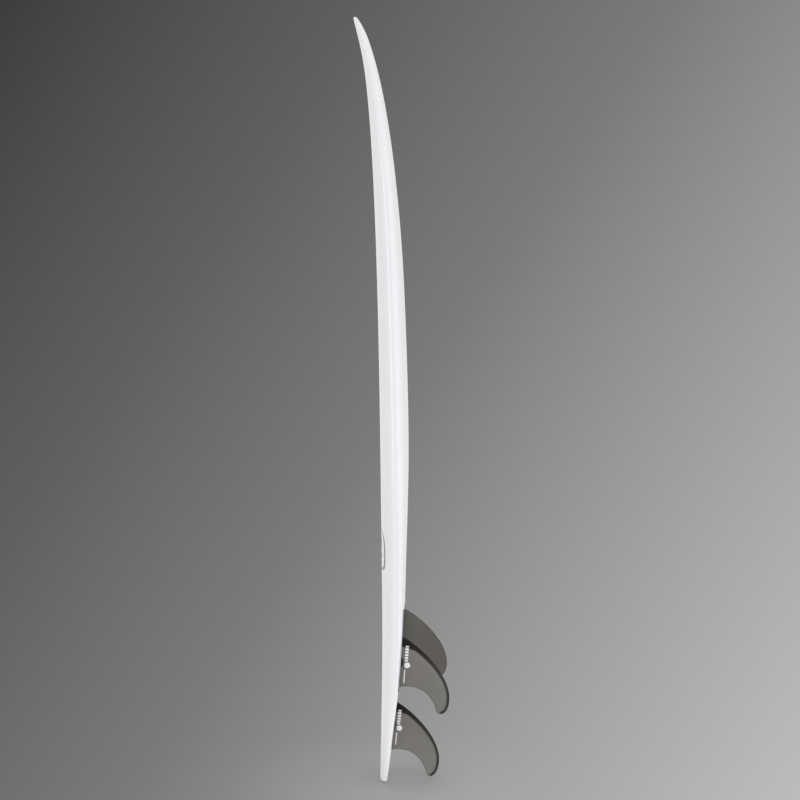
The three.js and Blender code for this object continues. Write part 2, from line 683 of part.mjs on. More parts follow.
const REACH = 400; // past the board on every side
const slice = (low, high) => core.intersect(box([-REACH, REACH], [low, high], [-REACH, LENGTH + REACH]));
const skin = (belongs) => cut(gridSolid(belongs, outerGrid, innerGrid), ...skinCuts);
const HALF_STRINGER = STRINGER / 2;
board.add(
  piece("blank_left", geometryOf(slice(-REACH, -HALF_STRINGER - GAP)), foam),
  piece("blank_right", geometryOf(slice(HALF_STRINGER + GAP, REACH)), foam),
  piece("stringer", geometryOf(slice(-HALF_STRINGER, HALF_STRINGER)), timber),
  piece("deck_skin", geometryOf(skin(deckLaminate)), laminate),
  piece("bottom_skin", geometryOf(skin(bottomLaminate)), laminate),
);

export default board;
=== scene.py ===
# The looks of a glossy white shortboard with three smoke-grey click-in fins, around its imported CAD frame.
# Shapes are worked out in millimetres, and meshes, materials and the studio are in metres.

import json
import math

import bpy
import numpy as np
from mathutils import Matrix, Vector


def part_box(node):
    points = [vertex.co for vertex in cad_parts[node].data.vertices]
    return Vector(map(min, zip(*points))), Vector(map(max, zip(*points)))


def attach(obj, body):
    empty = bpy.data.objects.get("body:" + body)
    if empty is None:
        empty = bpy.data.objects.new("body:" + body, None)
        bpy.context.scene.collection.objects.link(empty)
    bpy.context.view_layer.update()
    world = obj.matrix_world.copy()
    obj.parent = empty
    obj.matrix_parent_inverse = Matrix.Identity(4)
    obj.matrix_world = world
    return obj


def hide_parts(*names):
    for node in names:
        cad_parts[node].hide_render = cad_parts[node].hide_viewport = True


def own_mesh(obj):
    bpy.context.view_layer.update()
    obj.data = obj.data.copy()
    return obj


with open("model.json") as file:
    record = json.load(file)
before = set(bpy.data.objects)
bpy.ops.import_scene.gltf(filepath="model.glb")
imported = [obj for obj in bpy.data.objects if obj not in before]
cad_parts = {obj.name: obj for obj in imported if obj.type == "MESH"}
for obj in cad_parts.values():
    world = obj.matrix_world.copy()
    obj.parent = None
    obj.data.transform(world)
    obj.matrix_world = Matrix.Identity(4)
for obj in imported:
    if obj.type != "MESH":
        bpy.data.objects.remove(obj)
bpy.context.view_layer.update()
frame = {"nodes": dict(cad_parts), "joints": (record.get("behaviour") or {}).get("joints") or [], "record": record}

MM = 0.001

# ---------- the board's shape ----------

LENGTH = 1778

# Shaper's stations, each (height above the tail, value). X grows from the deck to the bottom.
HALF_WIDTH = [
    (0, 62), (60, 115), (150, 158), (305, 200), (500, 231), (700, 249), (900, 254),
    (1100, 246), (1300, 216), (1473, 164), (1600, 111), (1700, 60), (LENGTH, 13),
]
BOTTOM_LINE = [
    (0, 5), (150, 23.2), (340, 42), (455, 45.6), (567, 48.9), (760, 52.9), (1031, 47.2), (1217, 38.8),
    (1403, 23.2), (1589, -4), (1700, -32.2), (1742, -47.8), (LENGTH, -67),
]
DECK_LINE = [
    (0, -11.6), (60, -9.8), (150, -7.8), (334, -5.6), (567, -7.4), (760, -9.7), (1031, -14.2),
    (1217, -19.3), (1403, -27.2), (1589, -40.7), (1700, -56.6), (LENGTH, -75.8),
]
TAIL_CORNER = 42  # radius of the squash tail's corners, in plan
TAIL_DECK_ROUND = 5  # radius from the deck into the tail's end
NOSE_ROUND = 26  # length over which the outline closes at the nose
NOSE_THICKNESS_ROUND = 8  # length over which the thickness closes there
WIDEST_LINE = 0.2  # its distance from the bottom at the tail, as a share of the thickness
WIDEST_LINE_RISES = ((0.16, 250, 850), (0.12, 1200, LENGTH))  # what is added to it between two heights
DECK_CROWN = 2.5  # superellipse exponent across the deck: 2 is round, more is flatter
HARD_RAIL, SOFT_RAIL = 30, 8  # the same below the widest line, at the tail and from mid length on
RAIL_SOFTENS = (250, 900)  # the heights between which it changes
CONCAVE = 2.5  # depth of the single concave under the fins and mid length
CONCAVE_SPREAD = 0.85  # the share of the width that it takes
CONCAVE_DEEPENS, CONCAVE_FADES = (0, 250), (900, 1500)
SKIN = 0.9  # laminate thickness
GAP = 0.3  # clearance between bonded pieces
TIP_FILL = 6  # solid resin in the nose tip
LAP_SPREAD = 83  # sets how far the deck laminate laps under: 58 mm at the fins, 63 mm at mid length
BOTTOM_SKIN_FROM, BOTTOM_SKIN_TO = 22, LENGTH - 60  # the deck laminate wraps the tail and nose beyond these
STRINGER = 4.8  # timber thickness


def spline(knots):
    """The natural cubic spline through (position, value) knots, for numpy arrays."""
    x, y = np.array(knots, float).T
    h, count = np.diff(x), len(x)
    matrix, right = np.eye(count), np.zeros(count)
    for i in range(1, count - 1):
        matrix[i, i - 1 : i + 2] = h[i - 1], 2 * (h[i - 1] + h[i]), h[i]
        right[i] = 6 * ((y[i + 1] - y[i]) / h[i] - (y[i] - y[i - 1]) / h[i - 1])
    bend = np.linalg.solve(matrix, right)

    def at(value):
        i = np.clip(np.searchsorted(x, value, side="right") - 1, 0, count - 2)
        u, step = value - x[i], h[i]
        slope = (y[i + 1] - y[i]) / step - step * (2 * bend[i] + bend[i + 1]) / 6
        return y[i] + u * (slope + u * (bend[i] / 2 + u * (bend[i + 1] - bend[i]) / (6 * step)))

    return at


half_width_at, bottom_at, deck_at = spline(HALF_WIDTH), spline(BOTTOM_LINE), spline(DECK_LINE)


def ease(value, low, high):
    """0 at low and 1 at high, smoothly."""
    t = np.clip((value - low) / (high - low), 0, 1)
    return t * t * (3 - 2 * t)


def round_off(radius, along):
    """How far a quarter-round of this radius still has to go, this far from its end."""
    return radius - np.sqrt(np.maximum(0, radius**2 - np.clip(radius - along, 0, radius) ** 2))


def closing(length, along):
    """The share of the full size that is left this far from an end which closes over a length."""
    return np.sqrt(np.maximum(0, 1 - np.clip(1 - along / length, 0, 1) ** 2))


class Section:
    """The board's cross-section at height z, for a surface this far inside the outer one.

    Height is squeezed a little, so that an inner surface ends inside the tail's flat and the nose's tip.
    """

    def __init__(self, z, inset=0.0):
        tip = LENGTH - (TIP_FILL + inset if inset else 0)
        self.height = height = inset + z * (tip - inset) / LENGTH
        from_tail, from_nose = height - inset, tip - height
        deck = deck_at(height) + inset + round_off(TAIL_DECK_ROUND, from_tail)
        bottom = bottom_at(height) - inset
        share = sum((rise * ease(height, *over) for rise, *over in WIDEST_LINE_RISES), WIDEST_LINE)
        self.widest = bottom - (bottom - deck) * share
        taper = closing(NOSE_THICKNESS_ROUND, from_nose)
        width = half_width_at(height) - inset - round_off(TAIL_CORNER, from_tail)
        self.half = width * closing(NOSE_ROUND, from_nose)
        self.above = (self.widest - deck) * taper
        self.below = (bottom - self.widest) * taper
        self.concave = CONCAVE * ease(height, *CONCAVE_DEEPENS) * (1 - ease(height, *CONCAVE_FADES))
        self.edge = HARD_RAIL - (HARD_RAIL - SOFT_RAIL) * ease(height, *RAIL_SOFTENS)

    def deck(self, share):
        drop = np.sqrt(np.maximum(0, 1 - np.abs(share) ** DECK_CROWN))
        return self.widest - self.above * drop, share * self.half, self.height

    def bottom(self, share):
        reach = np.sqrt(np.maximum(0, 1 - np.abs(share) ** self.edge))
        across = np.minimum(1, np.abs(share) / CONCAVE_SPREAD)
        hollow = self.concave * np.cos(math.pi / 2 * across) ** 2
        return self.widest + self.below * reach - hollow, share * self.half, self.height


# Heights of the rings, close together at the tail and the nose, and even in between.
TAIL_ROWS = [0, 0.3, 0.8, 1.6, 2.6, 4, 6, 9, 13, 17.5, BOTTOM_SKIN_FROM, 28, 36, 46, 58]
EVEN_ROWS = np.linspace(72, LENGTH - 72, 104)
FROM_NOSE = [LENGTH - BOTTOM_SKIN_TO, 51, 43, 36, 30, 24.5, 19.5, 15, 11, 8, 5.5, 3.5, 2, 1, 0.4, 0.1]
ROWS = np.array([*TAIL_ROWS, *EVEN_ROWS, *(LENGTH - distance for distance in FROM_NOSE)])
DECK_STEPS, LAP_STEPS, BOTTOM_STEPS = 22, 16, 12  # columns: rail to crown, rail to seam, seam to stringer


def ring(z, inset):
    """A ring of points from the +Y rail over the deck to the -Y rail and back under the bottom."""
    s = Section(z, inset)
    half = max(s.half, 1)
    lap = half / (half + LAP_SPREAD)
    turn = np.linspace(0, math.pi / 2, DECK_STEPS + 1)
    deck = np.maximum(0, np.cos(turn)) ** (2 / DECK_CROWN)
    turn = np.linspace(0, math.acos(lap ** (s.edge / 2)), LAP_STEPS + 1)[1:]
    under = np.cos(turn) ** (2 / s.edge)
    middle = lap * (1 - np.arange(1, BOTTOM_STEPS + 1) / BOTTOM_STEPS)
    on_deck = np.concatenate([deck, -deck[-2::-1]])
    below = np.concatenate([-under, -middle, middle[-2::-1], under[::-1]])
    rows = []
    for shares, surface in ((on_deck, s.deck), (below, s.bottom)):
        x, y, height = surface(shares)
        rows.append(np.stack([x, y, np.full_like(x, height)], 1))
    return np.concatenate(rows)


COLUMNS = len(ring(LENGTH / 2, 0))
SEAM = 2 * DECK_STEPS + LAP_STEPS  # the column of the -Y seam
SEAM_BACK = COLUMNS - LAP_STEPS  # the column of the +Y seam


def surface_grid(inset):
    """Rings with a pole at each end, as (rows, columns, 3)."""
    rings = np.array([ring(z, inset) for z in ROWS])
    tail = rings[0].mean(0)
    tip = Section(float(LENGTH), inset)
    nose = np.array([tip.widest, 0, tip.height])
    pole = lambda p: np.repeat(p[None, None], COLUMNS, 1)
    return np.concatenate([pole(tail), rings, pole(nose)])


def row_of(height):
    """The row of a height, after the tail's pole."""
    return int(np.argmin(np.abs(ROWS - height))) + 1


def under_bottom(row, column):
    return row_of(BOTTOM_SKIN_FROM) <= row < row_of(BOTTOM_SKIN_TO) and SEAM <= column < SEAM_BACK


def grid_mesh(name, belongs, outer, inner=None):
    """The cells of a grid that belong to a piece, closed into a thin shell when there is an inner grid."""
    count = outer.shape[0]
    points, ids, faces = [], {}, []

    def corner(grid, layer, row, column):
        column %= COLUMNS
        key = (layer, row, 0 if row in (0, count - 1) else column)
        if key not in ids:
            ids[key] = len(points)
            points.append(grid[row, column])
        return ids[key]

    def quad(*corners):
        kept = list(dict.fromkeys(corners))
        if len(kept) > 2:
            faces.append(kept)

    is_in = lambda row, column: 0 <= row < count - 1 and belongs(row, column % COLUMNS)
    for row in range(count - 1):
        for column in range(COLUMNS):
            if not is_in(row, column):
                continue
            around = ((row, column), (row, column + 1), (row + 1, column + 1), (row + 1, column))
            a, b, c, d = (corner(outer, 0, *at) for at in around)
            quad(a, b, c, d)
            if inner is None:
                continue
            e, f, g, h = (corner(inner, 1, *at) for at in around)
            quad(e, h, g, f)
            if row > 0 and not is_in(row - 1, column):
                quad(b, a, e, f)
            if not is_in(row, column + 1):
                quad(c, b, f, g)
            if row < count - 2 and not is_in(row + 1, column):
                quad(d, c, g, h)
            if not is_in(row, column - 1):
                quad(a, d, h, e)
    return make_object(name, np.array(points) * MM, faces)


# ---------- mesh tools ----------


def make_object(name, points, faces, sharp=40):
    mesh = bpy.data.meshes.new(name)
    mesh.from_pydata([tuple(p) for p in points], [], [tuple(int(i) for i in f) for f in faces])
    mesh.validate()
    made = bpy.data.objects.new(name, mesh)
    bpy.context.scene.collection.objects.link(made)
    smooth(made, sharp)
    return made


def smooth(made, angle=40):
    made.data.polygons.foreach_set("use_smooth", [True] * len(made.data.polygons))
    made.data.set_sharp_from_angle(angle=math.radians(angle))


def bake_modifiers(made):
    """Replaces an object's mesh by its evaluated one."""
    mesh = bpy.data.meshes.new_from_object(made.evaluated_get(bpy.context.evaluated_depsgraph_get()))
    made.modifiers.clear()
    made.data = mesh
    mesh.name = made.name
    return made


def combine(made, tools, operation="DIFFERENCE"):
    """Cuts tools out of an object, or keeps its common part with one tool."""
    for tool in tools:
        modifier = made.modifiers.new("combine", "BOOLEAN")
        modifier.operation, modifier.object, modifier.solver = operation, tool, "EXACT"
        bpy.context.view_layer.update()
        bake_modifiers(made)
    smooth(made)
    return made


def remove(*objects):
    for o in objects:
        bpy.data.objects.remove(o)


def extrude(name, outline, low, high, matrix=Matrix(), sharp=40):
    """A closed outline in XY, pushed from z = low to z = high, in millimetres, and placed by a matrix."""
    n = len(outline)
    points = [matrix @ (Vector((x, y, z)) * MM) for z in (low, high) for x, y in outline]
    sides = [(i, (i + 1) % n, n + (i + 1) % n, n + i) for i in range(n)]
    return make_object(name, points, [tuple(range(n))[::-1], tuple(range(n, 2 * n)), *sides], sharp)


def circle(radius, steps=96):
    turn = np.linspace(0, 2 * math.pi, steps + 1)[:-1]
    return [(radius * math.cos(angle), radius * math.sin(angle)) for angle in turn]


def stadium(low, high, half, steps=32):
    """A stadium from x = low to x = high, with full-round ends."""
    points = []
    for centre, start in ((high - half, -math.pi / 2), (low + half, math.pi / 2)):
        for i in range(steps + 1):
            angle = start + math.pi * i / steps
            points.append((centre + half * math.cos(angle), half * math.sin(angle)))
    return points


def lathe(name, profile, matrix, steps, sharp=40):
    """A profile of (radius, along) turned about local Z. Points on the axis become poles."""
    points, rings = [], []
    for radius, along in profile:
        if radius < 1e-6:
            rings.append([len(points)] * steps)
            points.append(matrix @ (Vector((0, 0, along)) * MM))
            continue
        rings.append(list(range(len(points), len(points) + steps)))
        for i in range(steps):
            a = 2 * math.pi * i / steps
            points.append(matrix @ (Vector((radius * math.cos(a), radius * math.sin(a), along)) * MM))
    faces = []
    for low, high in zip(rings, rings[1:]):
        for i in range(steps):
            j = (i + 1) % steps
            kept = list(dict.fromkeys((low[i], low[j], high[j], high[i])))
            if len(kept) > 2:
                faces.append(kept)
    return make_object(name, points, faces, sharp)


def attribute(made, name, values):
    """A reading at each point of a mesh, for its material."""
    made.data.attributes.new(name, "FLOAT", "POINT").data.foreach_set("value", np.array(values, np.float32))


def bevel(made, width, segments=2, angle=35):
    modifier = made.modifiers.new("edges", "BEVEL")
    modifier.width, modifier.segments, modifier.limit_method = width * MM, segments, "ANGLE"
    modifier.angle_limit, modifier.harden_normals = math.radians(angle), True
    return made


# ---------- materials ----------


class Nodes:
    """A node tree, with short calls for the nodes used here."""

    def __init__(self, tree):
        self.tree = tree

    def add(self, kind, **inputs):
        node = self.tree.nodes.new(kind)
        for name, value in inputs.items():
            self.link(node.inputs[name.replace("_", " ")], value)
        return node

    def link(self, socket, value):
        if isinstance(value, bpy.types.NodeSocket):
            self.tree.links.new(value, socket)
        elif isinstance(value, (tuple, list)) and len(value) == 3 and socket.type == "RGBA":
            socket.default_value = (*value, 1)
        else:
            socket.default_value = value

    def math(self, operation, *values):
        node = self.add("ShaderNodeMath")
        node.operation = operation
        for socket, value in zip(node.inputs, values):
            self.link(socket, value)
        return node.outputs[0]

    def span(self, value, low, high, out_low=0.0, out_high=1.0):
        """value from low..high to out_low..out_high, smoothly and clamped."""
        node = self.add(
            "ShaderNodeMapRange", Value=value, From_Min=low, From_Max=high, To_Min=out_low, To_Max=out_high
        )
        node.interpolation_type = "SMOOTHSTEP"
        return node.outputs[0]

    def band(self, value, centre, half, soft):
        """1 within half of centre, fading to 0 over soft."""
        away = self.math("ABSOLUTE", self.math("SUBTRACT", value, centre))
        return self.span(away, half, half + soft, 1.0, 0.0)

    def mix(self, share, first, second):
        """first at share 0, second at share 1: colours. A share above 1 goes on past the second."""
        node = self.tree.nodes.new("ShaderNodeMix")
        node.data_type, node.clamp_factor = "RGBA", False
        self.link(node.inputs[0], share)
        self.link(node.inputs[6], first)
        self.link(node.inputs[7], second)
        return node.outputs[2]

    def tint(self, base, where, share, colour):
        """base, with this share of a colour over it where the pattern is 1."""
        return self.mix(self.math("MULTIPLY", where, share), base, colour)

    def distance(self, u, v):
        """The length of (u, v)."""
        return self.math("SQRT", self.math("ADD", self.math("MULTIPLY", u, u), self.math("MULTIPLY", v, v)))


class Finish(Nodes):
    """A material with a principled shader, patterned by place on the object."""

    def __init__(self, name):
        self.material = bpy.data.materials.new(name)
        self.material.use_nodes = True
        super().__init__(self.material.node_tree)
        self.shader = self.tree.nodes["Principled BSDF"]
        self.place = self.add("ShaderNodeTexCoord").outputs["Object"]
        self.x, self.y, self.z = self.add("ShaderNodeSeparateXYZ", Vector=self.place).outputs

    def set(self, **inputs):
        for name, value in inputs.items():
            self.link(self.shader.inputs[name.replace("_", " ")], value)

    def noise(self, scale, detail=3.0, roughness=0.5, vector=None):
        at = vector or self.place
        node = self.add("ShaderNodeTexNoise", Vector=at, Scale=scale, Detail=detail, Roughness=roughness)
        return node.outputs[0]

    def stretched(self, x, y, z):
        """The place with its axes scaled, for a pattern drawn out along the axis of the smallest scale."""
        return self.add("ShaderNodeMapping", Vector=self.place, Scale=(x, y, z)).outputs[0]

    def weave(self, u, v, pitch):
        """Plain-weave cloth: 0 to 1, over and under, for two coordinates in the same unit as pitch."""
        waves = [self.math("SINE", self.math("MULTIPLY", c, math.pi / pitch)) for c in (u, v)]
        return self.math("ADD", self.math("MULTIPLY", self.math("MULTIPLY", *waves), 0.5), 0.5)

    def bump(self, height, distance, strength=1.0, normal=None):
        node = self.add("ShaderNodeBump", Height=height, Distance=distance, Strength=strength)
        if normal:
            self.link(node.inputs["Normal"], normal)
        return node.outputs[0]

    def read(self, name):
        """A reading that attribute() stored on the mesh."""
        node = self.add("ShaderNodeAttribute")
        node.attribute_name = name
        return node.outputs["Fac"]


BOARD_CLOTH = 0.0011  # metres from one thread to the next
STRINGER_SEEN, GLUE_LINE = 0.0021, 0.0026  # metres off the middle: the timber's edge, and the glue beside it
LAP_LINE = 0.5  # half the width of the lap's edge, in millimetres


def laminate_material():
    """Clear resin and cloth over white foam. The stringer, its glue and the lap's edge show through."""
    n = Finish("laminate")
    base = n.mix(n.noise(9, 2), (0.865, 0.861, 0.887), (0.903, 0.896, 0.916))
    cloth = n.weave(n.y, n.z, BOARD_CLOTH)
    base = n.tint(base, cloth, 0.035, (0.70, 0.72, 0.75))
    base = n.tint(base, n.band(n.read("seam"), 0.0, LAP_LINE, 0.9), 0.16, (0.62, 0.64, 0.66))
    grain = n.noise(40, 4, 0.6, n.stretched(60, 60, 1))
    timber = n.mix(grain, (0.50, 0.33, 0.17), (0.74, 0.57, 0.36))
    base = n.tint(base, n.band(n.y, 0.0, STRINGER_SEEN, 0.0005), 0.62, timber)
    glue = n.band(n.math("ABSOLUTE", n.y), GLUE_LINE, 0.0002, 0.0003)
    base = n.tint(base, glue, 0.35, (0.55, 0.50, 0.42))
    mark = deck_mark(n)
    base = n.tint(base, mark, 0.96, (0.035, 0.037, 0.04))
    smudge = n.span(n.noise(55, 5, 0.6), 0.56, 0.74)
    haze = n.span(n.noise(3.2, 3), 0.35, 0.7)
    n.set(
        Base_Color=base,
        Roughness=n.math("ADD", 0.17, n.math("MULTIPLY", smudge, 0.10)),
        IOR=1.5,
        Specular_IOR_Level=n.span(mark, 0.0, 1.0, 0.5, 0.1),
        Coat_Weight=n.span(mark, 0.0, 1.0, 0.9, 0.05),
        Coat_Roughness=n.math("ADD", 0.035, n.math("MULTIPLY", haze, 0.05)),
        Coat_IOR=1.54,
    )
    ripple = n.bump(n.noise(14, 2), 0.00035, 0.5)
    n.set(Normal=n.bump(cloth, 0.00001, 0.25, ripple), Coat_Normal=ripple)
    return n.material


MARK_HEIGHT, MARK_HALF_WIDTH, MARK_HALF_HEIGHT = 0.552, 0.190, 0.050  # metres, up and across the deck
MARK_DECK_SIDE = 0.018  # metres: nothing is printed where X is more than this, so the bottom stays clear
HOOP, HOOP_HALF = 0.93, 0.045  # the hoop's line, as shares of those half sizes
BARS = ((-0.62, 0.10), (0.0, 0.20), (0.62, 0.10))  # places and half widths up the emblem
BAR_SLANT, BARS_INSIDE = 0.55, 0.66


def deck_mark(n):
    """A plain emblem across the deck: slanted bars inside a squarish hoop. 1 where it is printed."""
    across = n.math("DIVIDE", n.y, MARK_HALF_WIDTH)
    up = n.math("DIVIDE", n.math("SUBTRACT", n.z, MARK_HEIGHT), MARK_HALF_HEIGHT)
    away = n.math("SQRT", n.distance(n.math("POWER", across, 2.0), n.math("POWER", up, 2.0)))
    slant = n.math("ADD", up, n.math("MULTIPLY", across, BAR_SLANT))
    bars = 0.0
    for at, half in BARS:
        bars = n.math("MAXIMUM", bars, n.band(slant, at, half, 0.02))
    inside = n.span(away, BARS_INSIDE, BARS_INSIDE + 0.01, 1.0, 0.0)
    printed = n.math("MAXIMUM", n.math("MULTIPLY", bars, inside), n.band(away, HOOP, HOOP_HALF, 0.01))
    return n.math("MULTIPLY", printed, n.math("LESS_THAN", n.x, MARK_DECK_SIDE))


# The fin's patterns, in millimetres from its front base corner: along its base, and out from it.
FIN_CLOTH = 0.9  # from one thread to the next
EDGE_WIDE, EDGE_NARROW = 10.0, 6.2  # the black leading edge's width, low and high on the blade
EDGE_FOOT, EDGE_FOOT_HEIGHT = 9.0, 34  # how much wider it is at the base, and up to where
FOOT_SPOT, FOOT_SPOT_HALF = 56, 6.0  # a dark spot at the base, beneath the print's dot
BAR_ROW_DEPTH, BAR_ROW_HALF = 11.4, 3.4
BAR_ROW_MIDDLE, BAR_ROW_REACH = 35.6, 16.6
FIRST_BAR, HALF_PITCH = 19.6, 3.2
DOT_AT, DOT_RADIUS = (61.0, 14.0), 6.2
LINE_AT, LINE_HALF_LENGTH, LINE_HALF = (86.0, 9.4), 14.5, 1.0


def fin_material():
    """Smoked glass-fibre resin, with a black leading edge and a print on the foiled face only, and painted shade
    along the blade's edges.
    """
    n = Finish("smoked_composite")
    along, depth, edge, rear, outer = (n.read(name) for name in ("along", "depth", "edge", "rear", "outer"))
    cloth = n.weave(along, depth, FIN_CLOTH)
    body = n.mix(n.noise(9, 3, 0.5), (0.180, 0.171, 0.157), (0.201, 0.190, 0.174))
    body = n.mix(n.span(depth, 15, 112, 0.0, 0.8), body, (0.182, 0.180, 0.160))
    body = n.tint(body, cloth, 0.10, (0.08, 0.075, 0.07))
    plain = n.mix(n.span(depth, 0, 100), (0.139, 0.136, 0.119), (0.128, 0.114, 0.102))
    body = n.mix(outer, plain, body)
    foot = n.span(depth, 0, EDGE_FOOT_HEIGHT, EDGE_FOOT, 0.0)
    width = n.math("ADD", n.span(depth, 20, 112, EDGE_WIDE, EDGE_NARROW), foot)
    band = n.span(n.math("SUBTRACT", edge, width), -2.6, 2.2, 1.0, 0.0)
    # Painted shade: a thin dark line along the leading edge and the tip, on both faces
    painted_rim_shade = n.span(edge, 0.6, 2.2, 0.7, 0.0)
    # The black leading edge on the foiled face, together with the painted shade along the edge
    shade = n.math("MAXIMUM", n.math("MULTIPLY", band, outer), painted_rim_shade)
    # Painted shade: a darker line along the trailing edge
    body = n.mix(n.span(rear, 0.8, 4.0, 0.28, 0.0), body, (0.07, 0.07, 0.065))
    dark = n.mix(n.span(depth, 5, 95), (0.010, 0.008, 0.006), (0.036, 0.033, 0.029))
    body = n.tint(body, shade, 0.96, dark)
    low = n.span(depth, 2.5, 8.0, 1.0, 0.0)
    spot = n.math("MULTIPLY", n.band(along, FOOT_SPOT, FOOT_SPOT_HALF, 6.0), low)
    body = n.tint(body, n.math("MULTIPLY", spot, outer), 0.92, (0.012, 0.010, 0.009))
    printed = n.math("MULTIPLY", fin_mark(n, along, depth), outer)
    body = n.tint(body, printed, 0.97, (0.90, 0.90, 0.90))
    scuff = n.span(n.noise(90, 4, 0.65), 0.55, 0.75)
    n.set(
        Base_Color=body,
        Roughness=n.math("ADD", 0.30, n.math("MULTIPLY", scuff, 0.04)),
        IOR=1.5,
        Specular_IOR_Level=n.span(shade, 0.0, 1.0, 0.5, 0.12),
        Coat_Weight=n.span(shade, 0.0, 1.0, 0.25, 0.04),
        Coat_Roughness=0.12,
        Normal=n.bump(cloth, 0.00002, 0.35, n.bump(n.noise(18, 2), 0.0001, 0.3)),
    )
    return n.material


def fin_mark(n, along, depth):
    """A plain print near the fin's base: a row of bars, a dot and a thin line. 1 where it is printed."""
    bar = n.math("PINGPONG", n.math("SUBTRACT", along, FIRST_BAR), HALF_PITCH)
    reach = n.band(along, BAR_ROW_MIDDLE, BAR_ROW_REACH, 0.4)
    row = n.math("MULTIPLY", n.span(bar, 2.1, 2.6, 1.0, 0.0), reach)
    bars = n.math("MULTIPLY", n.band(depth, BAR_ROW_DEPTH, BAR_ROW_HALF, 0.5), row)
    off_dot = [n.math("SUBTRACT", reading, at) for reading, at in zip((along, depth), DOT_AT)]
    dot = n.span(n.distance(*off_dot), DOT_RADIUS, DOT_RADIUS + 0.6, 1.0, 0.0)
    line_along, line_depth = LINE_AT
    length = n.band(along, line_along, LINE_HALF_LENGTH, 0.4)
    line = n.math("MULTIPLY", n.band(depth, line_depth, LINE_HALF, 0.4), length)
    return n.math("MAXIMUM", n.math("MAXIMUM", bars, dot), line)


def foam_material(name, light, dark, cell):
    n = Finish(name)
    cells = n.add("ShaderNodeTexVoronoi", Vector=n.place, Scale=cell).outputs["Distance"]
    tone = n.math("MULTIPLY", n.noise(18, 4), 0.6)
    n.set(
        Base_Color=n.mix(n.math("ADD", tone, n.math("MULTIPLY", cells, 0.3)), light, dark),
        Roughness=0.93,
        Normal=n.bump(cells, 0.0003, 0.6, n.bump(n.noise(6, 3), 0.0008, 0.3)),
    )
    return n.material


def timber_material():
    n = Finish("timber")
    grain = n.noise(26, 5, 0.62, n.stretched(16, 16, 0.7))
    pores = n.span(n.noise(420, 2, 0.5, n.stretched(3, 3, 0.12)), 0.55, 0.72)
    colour = n.mix(grain, (0.47, 0.30, 0.15), (0.74, 0.56, 0.34))
    n.set(
        Base_Color=n.mix(n.math("MULTIPLY", pores, 0.4), colour, (0.30, 0.18, 0.09)),
        Roughness=n.span(grain, 0.3, 0.7, 0.55, 0.75),
        Normal=n.bump(pores, 0.0002, 0.4),
    )
    return n.material


def nylon_material(name, light, dark):
    n = Finish(name)
    fine = n.noise(900, 2)
    n.set(
        Base_Color=n.mix(n.noise(35, 4), light, dark),
        Roughness=n.span(n.noise(60, 3), 0.3, 0.7, 0.38, 0.55),
        Normal=n.bump(fine, 0.00003, 0.5),
    )
    return n.material


def steel_material():
    n = Finish("steel")
    lines = n.noise(300, 3, 0.6, n.stretched(1, 12, 1))
    n.set(
        Base_Color=n.mix(n.noise(80, 3), (0.58, 0.59, 0.60), (0.70, 0.71, 0.73)),
        Metallic=1.0,
        Roughness=n.span(lines, 0.3, 0.7, 0.16, 0.34),
        Normal=n.bump(lines, 0.00002, 0.4),
    )
    return n.material


MATERIALS = {
    "laminate": laminate_material(),
    "smoked_composite": fin_material(),
    "foam": foam_material("foam", (0.84, 0.82, 0.75), (0.74, 0.71, 0.62), 900),
    "dense_foam": foam_material("dense_foam", (0.72, 0.68, 0.56), (0.60, 0.55, 0.43), 1500),
    "timber": timber_material(),
    "white_nylon": nylon_material("white_nylon", (0.78, 0.78, 0.76), (0.70, 0.70, 0.68)),
    "dark_nylon": nylon_material("dark_nylon", (0.022, 0.023, 0.025), (0.032, 0.033, 0.036)),
    "steel": steel_material(),
}


def dress(made, slot):
    made.data.materials.clear()
    made.data.materials.append(MATERIALS[slot])


def add_piece(made, body, slot, *stood_for):
    """Gives a piece its finish and the body it rides on, and hides the CAD nodes that it stands for."""
    dress(made, slot)
    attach(made, body)
    if stood_for:
        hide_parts(*stood_for)
    return made


# ---------- where the fins and the leash plug are, from the frame's joints ----------

JOINTS = {joint["name"]: joint for joint in frame["joints"]}
FINS = {"centre": 0, "left": -1, "right": 1}  # which side of the stringer each fin is on
FIN_LIFT = 0.6  # clearance under the fin's base
CANT = 3.0  # degrees


def fin_matrix(name):
    """A fin's own frame: X aft along its base, Z out of the bottom, from its front base corner."""
    hinge = JOINTS[f"fin_{name}_swing"]
    side = -Vector(hinge["axis"])
    aft = Vector(JOINTS[f"roller_{name}_slide"]["axis"])
    normal = aft.cross(side)
    matrix = Matrix((aft, side, normal)).transposed().to_4x4()
    matrix.translation = Vector(hinge["pos_m"]) - normal * FIN_LIFT * MM
    return matrix


def canted(matrix, side):
    """The same frame leaned over with a side fin."""
    return matrix @ Matrix.Rotation(math.radians(CANT * side), 4, "X")


def leash_matrix():
    """The leash plug's frame: Z out of the deck, from the middle of its flange's face."""
    painted_rim_shade = next(mount for mount in frame["record"]["mounts"] if mount["name"] == "leash_plug_rim")
    low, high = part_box("leash_plug_pin")
    normal = Vector(painted_rim_shade["axis"]).normalized()
    middle = (low + high) / 2
    centre = middle + normal * (Vector(painted_rim_shade["pos_m"]) - middle).dot(normal)
    side = Vector((0, -1, 0))
    side = (side - normal * side.dot(normal)).normalized()
    matrix = Matrix((side.cross(normal), side, normal)).transposed().to_4x4()
    matrix.translation = centre
    return matrix


# ---------- fins ----------

FIN_THICKNESS = 6.2  # at the root, and through the tabs
DRAWN = 112.4  # the depth that the edges' curves are drawn at, before they are scaled
TIP = (130, DRAWN)  # the point that stands out furthest
LEADING = [(0, 0), (22, 49), (80, DRAWN), TIP]
CORNER_PULL = (4, 7.5)  # how the tip's edge leaves its rear corner
TIP_PULL = (164, DRAWN)  # and where it heads from the tip


